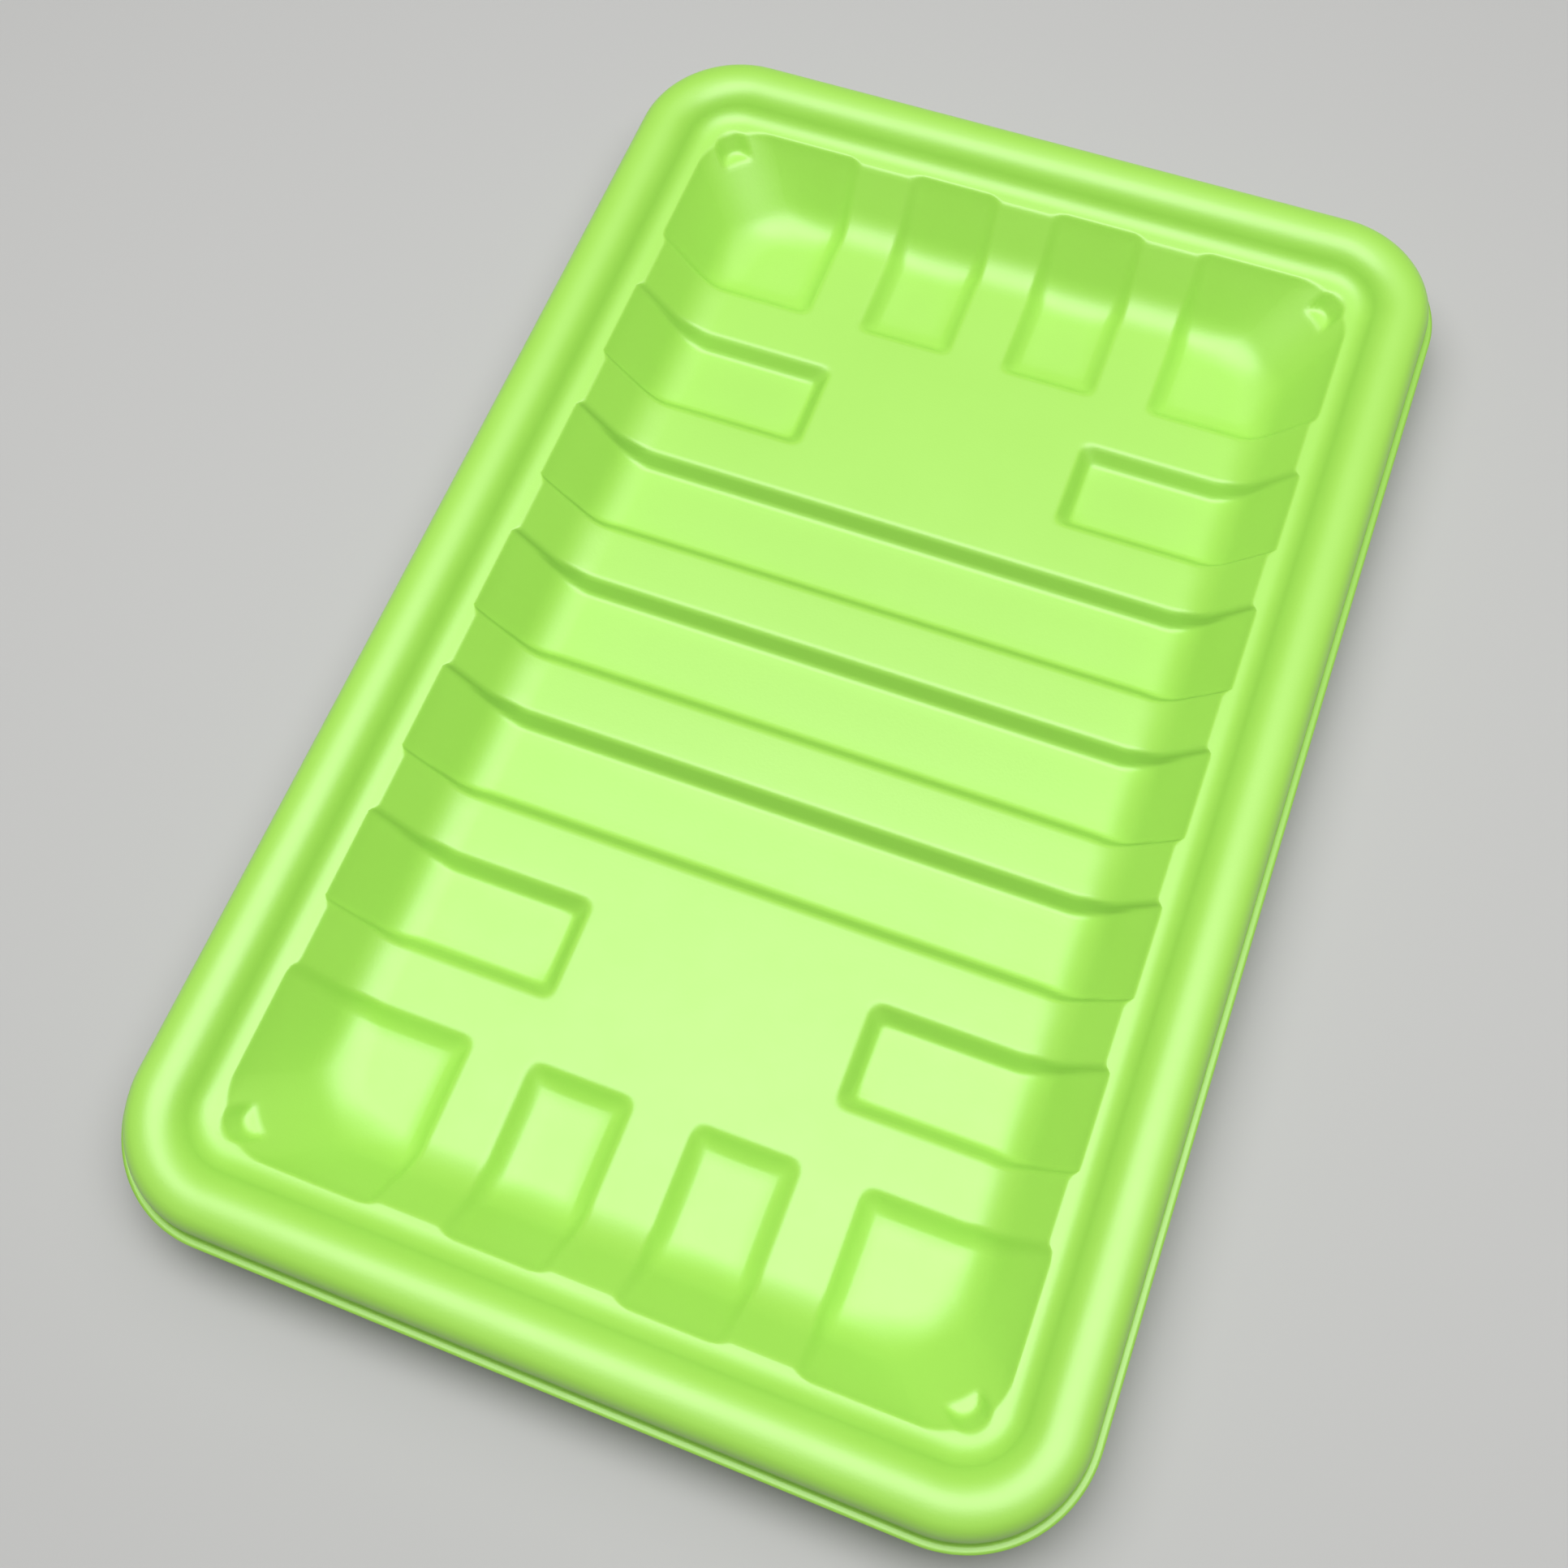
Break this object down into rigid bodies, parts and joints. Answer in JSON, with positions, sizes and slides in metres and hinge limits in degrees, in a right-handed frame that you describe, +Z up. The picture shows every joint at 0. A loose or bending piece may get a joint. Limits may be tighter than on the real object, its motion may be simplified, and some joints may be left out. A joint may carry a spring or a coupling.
{
  "type": "formed plastic food tray",
  "caption": "Shallow rectangular plastic food tray formed from one thin sheet, with a rolled rim, sloped walls, cross grooves and recessed floor pads.",
  "frame": {"origin": "middle of the tray in plan, on the plane it rests on under the floor grooves and pads", "axes": "+X across the tray, +Y along its length, +Z up out of the basin"},
  "size_m": [0.1258, 0.1958, 0.015],
  "materials": {
    "tray_sheet": "satin lime green sheet"
  },
  "bodies": {
    "root": {"tray": "tray_sheet"}
  },
  "joints": []
}
